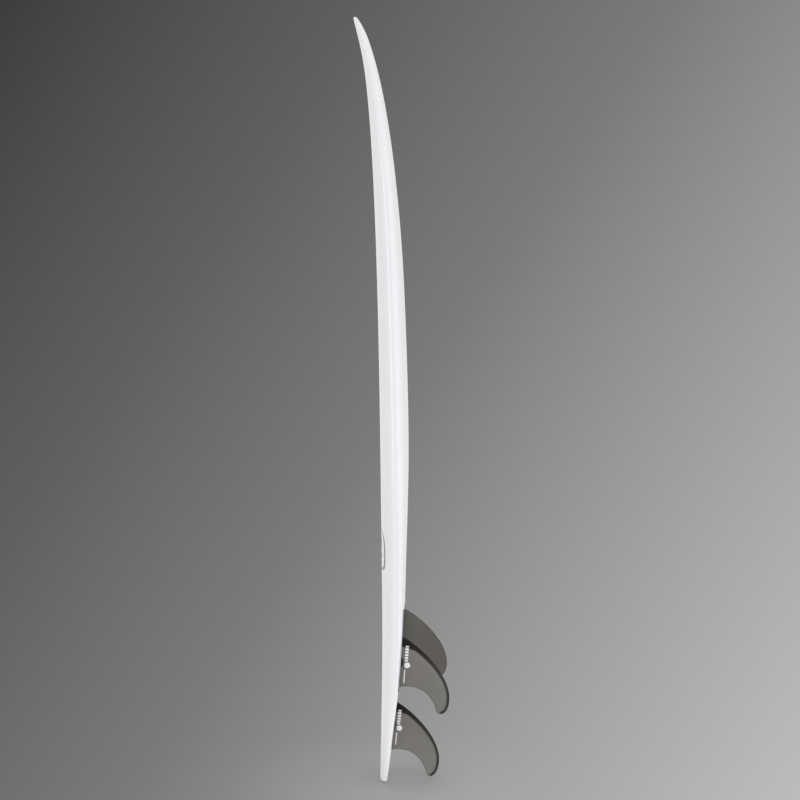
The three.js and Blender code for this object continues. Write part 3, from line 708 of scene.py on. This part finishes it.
class Planform:
    """A blade's edges, as curves through (along, depth)."""

    def __init__(self, base, depth, corner, *sweep):
        self.corner = corner
        self.depth = depth
        self.trailing = [(base, 0), *sweep, corner]
        leaves = tuple(at + pull for at, pull in zip(corner, CORNER_PULL))
        self.tip_edge = [corner, leaves, TIP_PULL, TIP]

    def back(self, depth):
        """How far aft the blade reaches at a depth."""
        return crossing(self.trailing if depth < self.corner[1] else self.tip_edge, depth)


CENTRE_FIN = Planform(114, 115, (164.3, 88.3), (101, 42), (124, 75))
SIDE_FIN = Planform(111, 112.5, (160.4, 86.3), (98, 48), (127, 77))


def bezier(points, t):
    (a, b, c, d), s = np.array(points, float), 1 - t
    return a * s**3 + 3 * b * s * s * t + 3 * c * s * t * t + d * t**3


def crossing(points, depth):
    """Where along the fin a curve reaches a depth."""
    low, high = 0.0, 1.0
    for _ in range(50):
        middle = (low + high) / 2
        low, high = (middle, high) if bezier(points, middle)[1] < depth else (low, middle)
    return bezier(points, low)[0]


def trace(curve, start=0.0):
    """Close points along a curve, from a share of its way."""
    return np.array([bezier(curve, t) for t in np.linspace(start, 1, 200)])


def nearest(points, along, depth):
    return np.hypot(points[:, 0] - along, points[:, 1] - depth).min()


TIP_EDGE_DARK_FROM = 0.42  # the dark edge stops this far along the tip, short of its rear corner
THICKEST = 0.32  # the share of the chord where the foil is thickest
TRAILING_LOSS = 0.86  # the share of that thickness lost by the trailing edge
TAPER_POWER = 1.3  # 1 is a straight taper behind the thickest point, and more is a fuller one
TRAILING_ROUND = 0.012  # the share of the chord over which the trailing edge is rounded off
TRAILING_FLAT = 0.25  # the share of its thickness that is left
EDGE_THICKNESS = 0.03  # the least share that is left at either edge
TIP_LOSS = 0.62  # the share of the root's thickness lost by the tip
TIP_ROUND_LOSS, TIP_ROUND_POWER = 0.98, 12  # how the last of it goes, in a round at the very tip


def foil(chord):
    """The blade's thickness at shares of its chord, as a share of the thickest."""
    nose = np.sqrt(1 - (1 - np.minimum(1, chord / THICKEST)) ** 2)
    taper = 1 - TRAILING_LOSS * np.maximum(0, (chord - THICKEST) / (1 - THICKEST)) ** TAPER_POWER
    back = np.sqrt(np.clip((1 - chord) / TRAILING_ROUND, 0, 1))
    return np.maximum(nose * taper * np.maximum(back, TRAILING_FLAT), EDGE_THICKNESS)


def fin_blade(name, outward, matrix):
    """A smooth foiled blade, lofted through sections of constant depth, with readings for its material."""
    levels, steps = 64, 40
    plan = SIDE_FIN if outward else CENTRE_FIN
    front = np.concatenate([trace(LEADING), trace(plan.tip_edge, TIP_EDGE_DARK_FROM)])
    back = trace(plan.trailing)
    chord = (1 - np.cos(math.pi * np.arange(steps + 1) / steps)) / 2
    points, faces = [], []
    # Place, distances from the leading and trailing edges, and 1 on the foiled face.
    measured = {"along": [], "depth": [], "edge": [], "rear": [], "outer": []}
    for level in range(levels + 1):
        rise = math.sin(level / levels * math.pi / 2)
        drawn = min(DRAWN * rise, DRAWN - 0.01)
        start, end = crossing(LEADING, drawn), plan.back(drawn)
        tip_round = math.sqrt(1 - TIP_ROUND_LOSS * rise**TIP_ROUND_POWER)
        width = FIN_THICKNESS * (1 - TIP_LOSS * rise) * tip_round * foil(chord)
        middle = -outward * FIN_THICKNESS / 2 + outward * width / 2
        s = start + (end - start) * chord
        z = FIN_LIFT + drawn * plan.depth / DRAWN
        loop = [(a, m + w / 2) for a, m, w in zip(s, middle, width)]
        loop += [(a, m - w / 2) for a, m, w in zip(s[::-1], middle[::-1], width[::-1])]
        for i, (a, t) in enumerate(loop):
            points.append(matrix @ (Vector((a, t, z)) * MM))
            face = 1 if i <= steps else -1
            on_foil = 1.0 if outward in (0, face) else 0.0
            row = (a, drawn, nearest(front, a, drawn), nearest(back, a, drawn), on_foil)
            for values, value in zip(measured.values(), row):
                values.append(value)
    n = 2 * (steps + 1)
    for level in range(levels):
        for i in range(n):
            j = (i + 1) % n
            faces.append((level * n + i, (level + 1) * n + i, (level + 1) * n + j, level * n + j))
    top = levels * n
    for i in range(steps):
        a, b, c, d = i, i + 1, n - 2 - i, n - 1 - i
        faces.append((a, b, c, d))
        faces.append((top + d, top + c, top + b, top + a))
    made = make_object(f"fin_{name}_blade", points, faces, 50)
    for label, values in measured.items():
        attribute(made, label, values)
    return made


TAB_DEPTH = 13.5
FRONT_TAB, REAR_TAB_FROM = (12, 60), 79  # from the fin's front base corner; the rear tab ends at the roller
TOE_REACH, TOE_HEIGHT, TOE_DRAFT, TOE_ROUND = 4, 3.6, 0.4, 0.8  # the hook at the front tab's foot
TAB_CORNER = 1  # chamfer of the front tab's rear corner
TAB_TOP = FIN_LIFT + 0.05  # just inside the blade
ROLLER_AT = (101.2, -4.3)  # along the fin, and below its base
ROLLER_RADIUS, ROLLER_END_RADIUS, ROLLER_HALF_LENGTH = 2.5, 1.7, 4.5
ROLLER_TRAVEL, CLICK_ANGLE = 1.4, math.radians(5)  # how far the roller is pushed back over the fin's swing
HEEL_CLEARANCE = 0.2  # between the rear tab's heel and the roller
CHAMBER_END = 113  # the far wall of the roller and spring chamber


def heel_points(steps=10):
    """The rear tab's heel: a spiral about the fin's front corner that pushes the roller back as it turns."""
    along, down = ROLLER_AT[0] - ROLLER_RADIUS - HEEL_CLEARANCE, ROLLER_AT[1] - FIN_LIFT
    reach, level = math.hypot(along, down), math.atan2(down, along)
    points = []
    for i in range(steps + 1):
        below = -TAB_DEPTH * i / steps - FIN_LIFT
        radius = reach + (level - math.atan2(below, reach)) * ROLLER_TRAVEL / CLICK_ANGLE
        points.append((math.sqrt(radius**2 - below**2), below + FIN_LIFT))
    return points


def fin_tabs(name, matrix):
    """The two tabs under a blade, with their edges eased."""
    front, back = FRONT_TAB
    toe, shoulder = front - TOE_REACH, TOE_HEIGHT - TAB_DEPTH
    front_tab = [
        (front, TAB_TOP), (front, shoulder), (toe, shoulder - TOE_DRAFT), (toe, TOE_ROUND - TAB_DEPTH),
        (toe + TOE_ROUND, -TAB_DEPTH), (back - TAB_CORNER, -TAB_DEPTH), (back, TAB_CORNER - TAB_DEPTH),
        (back, TAB_TOP),
    ]
    heel = heel_points()
    rear_tab = [(heel[0][0], TAB_TOP), *heel, (REAR_TAB_FROM, -TAB_DEPTH), (REAR_TAB_FROM, TAB_TOP)]
    across = matrix @ Matrix.Rotation(math.pi / 2, 4, "X")
    half = FIN_THICKNESS / 2
    for part, outline in (("front_tab", front_tab), ("rear_tab", rear_tab)):
        made = extrude(f"fin_{name}_{part}", outline[::-1], -half, half, across, 30)
        yield bake_modifiers(bevel(made, 0.25, 2, 30))


# ---------- small fittings ----------


def roller_piece(name, matrix):
    """A roller with a journal at each end, turned about the fin's Y."""
    end, middle, half = ROLLER_END_RADIUS, ROLLER_RADIUS, ROLLER_HALF_LENGTH
    shoulder, soft = 2.9, 0.25  # where the journals begin, and the edges' chamfer
    profile = [
        (0, -half), (end - soft, -half), (end, soft - half),
        (end, -shoulder), (middle - soft, -shoulder), (middle, soft - shoulder),
    ]
    profile += [(radius, -along) for radius, along in reversed(profile)]
    place = matrix @ Matrix.Translation(Vector((ROLLER_AT[0], 0, ROLLER_AT[1])) * MM)
    return lathe(f"roller_{name}", profile, place @ Matrix.Rotation(math.pi / 2, 4, "X"), 48, 30)


def spring_piece(name, matrix):
    """A coil spring between the roller and the chamber's far wall, as a swept tube with flat ends."""
    wire, radius, clear = 0.35, 2.0, 0.1
    turns, per_turn, sides = 4, 40, 12
    start, end = ROLLER_AT[0] + ROLLER_RADIUS + wire + clear, CHAMBER_END - wire - clear
    count = turns * per_turn
    pitch = (end - start) / (2 * math.pi * turns)
    points, faces = [], []
    for i in range(count + 1):
        t = i / count
        angle = 2 * math.pi * turns * t
        y, z = radius * math.cos(angle), radius * math.sin(angle)
        centre = Vector((start + (end - start) * t, y, ROLLER_AT[1] + z))
        outward = Vector((0, math.cos(angle), math.sin(angle)))
        other = Vector((pitch, -z, y)).normalized().cross(outward)
        for k in range(sides):
            a = 2 * math.pi * k / sides
            points.append(matrix @ ((centre + (outward * math.cos(a) + other * math.sin(a)) * wire) * MM))
    for i in range(count):
        for k in range(sides):
            j = (k + 1) % sides
            faces.append((i * sides + k, i * sides + j, (i + 1) * sides + j, (i + 1) * sides + k))
    faces.append(tuple(range(sides))[::-1])
    faces.append(tuple(range(count * sides, (count + 1) * sides)))
    return make_object(f"spring_{name}", points, faces)


# The leash plug: radii, and lengths from its rim. PLUG_PIN_HALF is half the pin's length.
PLUG_FLANGE, PLUG_FLANGE_THICKNESS = 15, 2
PLUG_BODY, PLUG_DEPTH = 13, 17
PLUG_WELL, PLUG_WELL_DEPTH, PLUG_WELL_ROUND = 10, 13.5, 1.2
PLUG_PIN, PLUG_PIN_HALF, PLUG_PIN_DEPTH = 1.6, 12, 4.5


def leash_cup(matrix, soft=0.5):
    """The leash plug's cup, with its flange's two edges rounded."""
    flange, body, well, floor = PLUG_FLANGE, PLUG_BODY, PLUG_WELL, -PLUG_WELL_DEPTH
    turn = (0, 0.5, 1.0, 1.57)
    profile = [(body, -PLUG_DEPTH), (body, -PLUG_FLANGE_THICKNESS), (flange, -PLUG_FLANGE_THICKNESS)]
    profile += [(flange - soft * (1 - math.cos(a)), -soft * (1 - math.sin(a))) for a in turn]
    profile += [(well + soft * (1 - math.sin(a)), -soft * (1 - math.cos(a))) for a in turn]
    profile += [(well, floor + PLUG_WELL_ROUND), (well - PLUG_WELL_ROUND / 3, floor + PLUG_WELL_ROUND / 3)]
    profile += [(well - PLUG_WELL_ROUND, floor), (0, floor), (0, -PLUG_DEPTH)]
    return lathe("leash_cup", profile[::-1], matrix, 96, 35)


def leash_pin(matrix, soft=0.2):
    """The cross pin in the cup's well."""
    place = matrix @ Matrix.Translation(Vector((0, 0, -PLUG_PIN_DEPTH)) * MM)
    profile = [(0, -PLUG_PIN_HALF), (PLUG_PIN - soft, -PLUG_PIN_HALF), (PLUG_PIN, soft - PLUG_PIN_HALF)]
    profile += [(radius, -along) for radius, along in reversed(profile)]
    return lathe("leash_pin", profile, place @ Matrix.Rotation(math.pi / 2, 4, "X"), 40)


# ---------- putting the board together ----------

BOX_FROM, BOX_TO, BOX_HALF_WIDTH = -7, 119, 12  # a fin box, from the fin's front base corner
FLANGE_RIM, COLLAR_RIM = 3, 5  # how far its flange and its collar stand out all round
COLLAR_POCKET = (-18.0, -3.7)  # below the fin's base, with the clearance
FLANGE_SEAT = -4.5  # how deep the flange's opening goes into the core
FIT, CUP_FIT = 0.15, 0.2  # clearance round the flanges and the cup where they pass through the laminate
SKIN_CUT_FROM, CUT_TO = -6, 8  # how far the flanges' cutters reach in and out
PAST_DECK = 6  # and the plug's

places = {name: fin_matrix(name) for name in FINS}
leash = leash_matrix()


def box_plan(grow):
    return stadium(BOX_FROM - grow, BOX_TO + grow, BOX_HALF_WIDTH + grow)


def flange_cutter(name, low):
    place = canted(places[name], FINS[name])
    return extrude("cutter", box_plan(FLANGE_RIM + FIT), low, CUT_TO, place)


def core_cutters(name):
    collar = extrude("cutter", box_plan(COLLAR_RIM + GAP), *COLLAR_POCKET, places[name])
    return [collar, flange_cutter(name, FLANGE_SEAT)]


def plug_cutters(flange_fit, cup_fit):
    flange, cup = circle(PLUG_FLANGE + flange_fit), circle(PLUG_BODY + cup_fit)
    return [
        extrude("cutter", flange, -PLUG_FLANGE_THICKNESS - GAP, PAST_DECK, leash),
        extrude("cutter", cup, -PLUG_DEPTH - GAP, 0, leash),
    ]


FAR = 99.0  # a reading that is outside every pattern


def seam_attribute(made):
    """Millimetres from the deck laminate's edge, measured across the bottom; far away on the deck."""
    co = np.zeros(len(made.data.vertices) * 3)
    made.data.vertices.foreach_get("co", co)
    x, y, z = co.reshape(-1, 3).T / MM
    s = Section(np.clip(z, 0.1, LENGTH - 0.5))
    half = np.maximum(s.half, 1)
    across = np.abs(y) - half * half / (half + LAP_SPREAD)
    along = np.maximum(BOTTOM_SKIN_FROM - z, z - BOTTOM_SKIN_TO)
    away = np.maximum(across, along)
    away[x < s.widest] = FAR
    attribute(made, "seam", away)


def build_skins():
    outer, inner = surface_grid(0), surface_grid(SKIN)
    deck = grid_mesh("deck_glass", lambda row, column: not under_bottom(row, column), outer, inner)
    bottom = grid_mesh("bottom_glass", under_bottom, outer, inner)
    flanges = {name: flange_cutter(name, SKIN_CUT_FROM) for name in FINS}
    plug = plug_cutters(FIT, CUP_FIT)
    combine(deck, [flanges["left"], flanges["right"], *plug])  # the side boxes reach into the lap
    combine(bottom, flanges.values())
    remove(*flanges.values(), *plug)
    seam_attribute(deck)
    seam_attribute(bottom)
    add_piece(deck, "board", "laminate", "deck_skin")
    add_piece(bottom, "board", "laminate", "bottom_skin")


def build_core():
    """The foam, cut out for the boxes and the plug, and sliced at the stringer."""
    core = grid_mesh("core", lambda row, column: True, surface_grid(SKIN + GAP))
    cutters = [cutter for name in FINS for cutter in core_cutters(name)] + plug_cutters(GAP, GAP)
    combine(core, cutters)
    remove(*cutters)
    half, far = STRINGER / 2, 400
    slices = {
        "foam_left": ("blank_left", "foam", -far, -half - GAP),
        "foam_right": ("blank_right", "foam", half + GAP, far),
        "timber_stringer": ("stringer", "timber", -half, half),
    }
    for name, (node, slot, low, high) in slices.items():
        made = bpy.data.objects.new(name, core.data.copy())
        bpy.context.scene.collection.objects.link(made)
        plan = [(-far, low), (far, low), (far, high), (-far, high)]
        slab = extrude("slab", plan, -far, LENGTH + far)
        combine(made, [slab], "INTERSECT")
        remove(slab)
        add_piece(made, "board", slot, node)
    remove(core)


TAB_READINGS = {"along": 70.0, "depth": 0.0, "edge": FAR, "rear": FAR, "outer": 0.0}  # plain resin


def build_fins():
    for name, side in FINS.items():
        body, matrix = f"fin_{name}", places[name]
        add_piece(fin_blade(name, side, matrix), body, "smoked_composite", f"fin_{name}")
        for tab in fin_tabs(name, matrix):
            for label, value in TAB_READINGS.items():
                attribute(tab, label, [value] * len(tab.data.vertices))
            add_piece(tab, body, "smoked_composite")
        add_piece(roller_piece(name, matrix), f"roller_{name}", "steel", f"fin_box_{name}_roller")
        spring = add_piece(spring_piece(name, matrix), "board", "steel", f"fin_box_{name}_spring")
        aft = JOINTS[f"roller_{name}_slide"]["axis"]
        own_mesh(spring)
        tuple(aft)


build_skins()
build_core()
build_fins()
add_piece(leash_cup(leash), "board", "white_nylon", "leash_plug_cup")
add_piece(leash_pin(leash), "board", "steel", "leash_plug_pin")

# The CAD nodes that still show keep their shape, and get a finish and eased edges.
slots = {part["node"]: part["material_slot"] for part in frame["record"]["subparts"]}
for node, cad in frame["nodes"].items():
    if not cad.hide_render:
        dress(cad, slots[node])
        smooth(cad, 30)
        bevel(cad, 0.2, 2, 40)

# ---------- studio ----------

FLOOR_FADE, FLOOR_RADIUS = 0.05, 0.42  # where the floor begins to fade out, and where it ends
FLOOR_BELOW = 0.0005
FLOOR_GAIN = 1.3  # the floor's grey as a multiple of the backdrop's, before light and shade fall on it
AMBIENT = 0.72
DARK_ROOM, LIGHT_ROOM = 0.12, 0.78  # what reflections see of the room, behind the camera and elsewhere
BACKDROP = ((0.0, 61), (0.28, 96), (0.5, 122), (1.0, 188))  # display greys along the diagonal
ACROSS_SHARE, DOWN_SHARE = 0.595, 0.405  # how the diagonal leans
COOL = (0.97, 0.965, 1.0)


def grey(level):
    """A display grey, 0 to 255, as a linear colour."""
    return (((level / 255 + 0.055) / 1.055) ** 2.4,) * 3


def backdrop(n, window):
    """A plain grey that pales along the picture's diagonal, from top left to bottom right."""
    across, up, _ = n.add("ShaderNodeSeparateXYZ", Vector=window).outputs
    down = n.math("MULTIPLY", n.math("SUBTRACT", 1.0, up), DOWN_SHARE)
    diagonal = n.math("ADD", n.math("MULTIPLY", across, ACROSS_SHARE), down)
    ramp = n.add("ShaderNodeValToRGB", Fac=diagonal)
    for at, _ in BACKDROP[1:-1]:
        ramp.color_ramp.elements.new(at)
    for stop, (at, level) in zip(ramp.color_ramp.elements, BACKDROP):
        stop.position, stop.color = at, (*grey(level), 1)
    return ramp.outputs[0]


def floor_material():
    """The backdrop's grey a little paler, fading out so that the floor has no edge."""
    n = Finish("floor")
    window = n.add("ShaderNodeTexCoord").outputs["Window"]
    seen = n.mix(FLOOR_GAIN, (0, 0, 0), backdrop(n, window))
    direct = n.add("ShaderNodeLightPath").outputs["Is Camera Ray"]
    n.set(Base_Color=n.mix(direct, (0.88, 0.88, 0.88), seen), Roughness=0.85)
    n.set(Alpha=n.span(n.distance(n.x, n.y), FLOOR_FADE, FLOOR_RADIUS, 1.0, 0.0))
    return n.material


def area_light(name, place, target, size, power, colour=(1, 1, 1), mirrored=True):
    """A rectangular light of a power in watts. It can be kept out of mirror reflections."""
    data = bpy.data.lights.new(name, "AREA")
    data.shape, data.size, data.size_y, data.energy, data.color = "RECTANGLE", *size, power, colour
    light = bpy.data.objects.new(name, data)
    light.location = place
    light.rotation_euler = (Vector(target) - Vector(place)).to_track_quat("-Z", "Y").to_euler()
    light.visible_glossy = mirrored
    bpy.context.scene.collection.objects.link(light)


def build_world():
    """Soft white light from all round, with the room dark behind the camera in reflections only."""
    world = bpy.data.worlds.new("studio")
    bpy.context.scene.world = world
    world.use_nodes = True
    world.node_tree.nodes.clear()
    n = Nodes(world.node_tree)
    place, ray = n.add("ShaderNodeTexCoord"), n.add("ShaderNodeLightPath")
    forward = n.add("ShaderNodeSeparateXYZ", Vector=place.outputs["Generated"]).outputs[1]
    reflected = n.span(forward, -1.0, -0.25, DARK_ROOM, LIGHT_ROOM)
    shiny = ray.outputs["Is Glossy Ray"]
    strength = n.math("ADD", AMBIENT, n.math("MULTIPLY", shiny, n.math("SUBTRACT", reflected, AMBIENT)))
    lit = n.add("ShaderNodeBackground", Color=(1, 1, 1), Strength=strength)
    seen = n.add("ShaderNodeBackground", Color=backdrop(n, place.outputs["Window"]))
    both = n.add("ShaderNodeMixShader", Fac=ray.outputs["Is Camera Ray"])
    n.link(both.inputs[1], lit.outputs[0])
    n.link(both.inputs[2], seen.outputs[0])
    n.add("ShaderNodeOutputWorld", Surface=both.outputs[0])


def build_studio():
    points = [(x, y, -FLOOR_BELOW) for x, y in circle(FLOOR_RADIUS)]
    floor = make_object("floor", points, [range(len(points))])
    floor.data.materials.append(floor_material())
    build_world()
    area_light("front", (0.9, -3.3, 1.2), (0, 0, 0.6), (2.2, 2.6), 17, COOL, mirrored=False)
    area_light("left", (-2.6, -0.8, 1.5), (0, 0, 1.1), (1.2, 2.6), 9)
    area_light("right", (2.6, -0.9, 0.9), (0, 0, 0.5), (1.2, 2.2), 9.5, COOL, mirrored=False)
    area_light("top", (0.2, -0.6, 3.4), (0, 0, 0.6), (1.6, 1.6), 4, mirrored=False)
    area_light("low", (0.5, -2.4, 0.3), (0, 0, 0.05), (1.6, 0.5), 8, COOL, mirrored=False)
    bpy.context.scene.view_settings.view_transform = "Standard"


CAMERA_AT = (0.093, -3.0, 0.995)
SENSOR, LENS = 36, 57.74  # millimetres
LENS_SHIFTS = {"shift_x": -0.03125, "shift_y": -0.06034}


def hold_shift(camera, axis, amount):
    """A lens shift that holds only where the camera first stands, so that other views stay centred."""
    stand = bpy.data.objects.new("camera_stand", None)
    stand.location = camera.location
    bpy.context.scene.collection.objects.link(stand)
    driver = camera.data.driver_add(axis).driver
    moved = driver.variables.new()
    moved.name, moved.type = "moved", "LOC_DIFF"
    moved.targets[0].id, moved.targets[1].id = camera, stand
    driver.expression = f"{amount} * (moved < 0.001)"


def build_camera():
    """Level, three metres from the stringer and above the board's middle, with the lens shifted."""
    data = bpy.data.cameras.new("camera")
    camera = bpy.data.objects.new("camera", data)
    bpy.context.scene.collection.objects.link(camera)
    camera.location = CAMERA_AT
    camera.rotation_euler = (math.pi / 2, 0, 0)
    data.sensor_width, data.lens = SENSOR, LENS
    for axis, amount in LENS_SHIFTS.items():
        hold_shift(camera, axis, amount)
    bpy.context.scene.camera = camera


build_studio()
build_camera()
